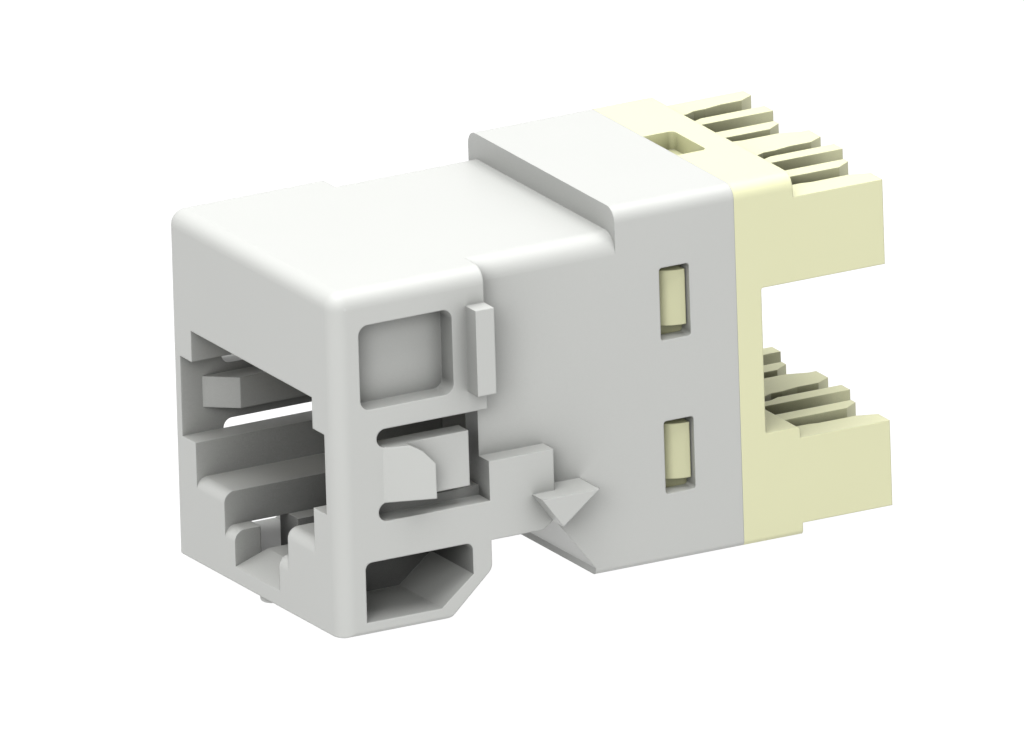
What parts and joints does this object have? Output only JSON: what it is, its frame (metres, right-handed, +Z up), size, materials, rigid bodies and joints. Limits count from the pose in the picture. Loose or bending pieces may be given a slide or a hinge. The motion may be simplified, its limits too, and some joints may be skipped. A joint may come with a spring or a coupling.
{
  "type": "keystone jack",
  "caption": "Keystone jack: a modular plug socket in a light grey housing that snaps into a frame, with a cream punch-down terminal block for the wires at its rear.",
  "frame": {"origin": "centre of the underside of the bounding box", "axes": "+Z up, +Y from the plug face towards the terminal block, X across the width"},
  "size_m": [0.0186, 0.0306, 0.0187],
  "materials": {
    "housing_plastic": "smooth satin, light grey",
    "terminal_plastic": "smooth satin, pale cream",
    "carrier_plastic": "satin, black",
    "board": "green solder mask",
    "contact_metal": "gold-plated spring wire",
    "terminal_metal": "tin-plated stamping"
  },
  "bodies": {
    "jack_body": {"jack_housing": "housing_plastic", "terminal_block": "terminal_plastic", "contact_carrier": "carrier_plastic", "circuit_board": "board", "idc_terminal_1": "terminal_metal", "idc_terminal_2": "terminal_metal", "idc_terminal_3": "terminal_metal", "idc_terminal_4": "terminal_metal", "idc_terminal_5": "terminal_metal", "idc_terminal_6": "terminal_metal", "idc_terminal_7": "terminal_metal", "idc_terminal_8": "terminal_metal"},
    "contact_1": {"spring_contact_1": "contact_metal"},
    "contact_2": {"spring_contact_2": "contact_metal"},
    "contact_3": {"spring_contact_3": "contact_metal"},
    "contact_4": {"spring_contact_4": "contact_metal"},
    "contact_5": {"spring_contact_5": "contact_metal"},
    "contact_6": {"spring_contact_6": "contact_metal"},
    "contact_7": {"spring_contact_7": "contact_metal"},
    "contact_8": {"spring_contact_8": "contact_metal"}
  },
  "joints": [
    {"name": "contact_1_lift", "type": "hinge", "parent": "jack_body", "child": "contact_1", "pos_m": [-0.00356, 0.0061, 0.014], "axis": [-1, 0, 0], "range_deg": [0, 4.5], "stiffness_Nm_per_rad": 0.18, "springref_deg": -2.86},
    {"name": "contact_2_lift", "type": "hinge", "parent": "jack_body", "child": "contact_2", "pos_m": [-0.00254, 0.0061, 0.014], "axis": [-1, 0, 0], "range_deg": [0, 4.5], "stiffness_Nm_per_rad": 0.18, "springref_deg": -2.86},
    {"name": "contact_3_lift", "type": "hinge", "parent": "jack_body", "child": "contact_3", "pos_m": [-0.00152, 0.0061, 0.014], "axis": [-1, 0, 0], "range_deg": [0, 4.5], "stiffness_Nm_per_rad": 0.18, "springref_deg": -2.86},
    {"name": "contact_4_lift", "type": "hinge", "parent": "jack_body", "child": "contact_4", "pos_m": [-0.00051, 0.0061, 0.014], "axis": [-1, 0, 0], "range_deg": [0, 4.5], "stiffness_Nm_per_rad": 0.18, "springref_deg": -2.86},
    {"name": "contact_5_lift", "type": "hinge", "parent": "jack_body", "child": "contact_5", "pos_m": [0.00051, 0.0061, 0.014], "axis": [-1, 0, 0], "range_deg": [0, 4.5], "stiffness_Nm_per_rad": 0.18, "springref_deg": -2.86},
    {"name": "contact_6_lift", "type": "hinge", "parent": "jack_body", "child": "contact_6", "pos_m": [0.00152, 0.0061, 0.014], "axis": [-1, 0, 0], "range_deg": [0, 4.5], "stiffness_Nm_per_rad": 0.18, "springref_deg": -2.86},
    {"name": "contact_7_lift", "type": "hinge", "parent": "jack_body", "child": "contact_7", "pos_m": [0.00254, 0.0061, 0.014], "axis": [-1, 0, 0], "range_deg": [0, 4.5], "stiffness_Nm_per_rad": 0.18, "springref_deg": -2.86},
    {"name": "contact_8_lift", "type": "hinge", "parent": "jack_body", "child": "contact_8", "pos_m": [0.00356, 0.0061, 0.014], "axis": [-1, 0, 0], "range_deg": [0, 4.5], "stiffness_Nm_per_rad": 0.18, "springref_deg": -2.86}
  ]
}
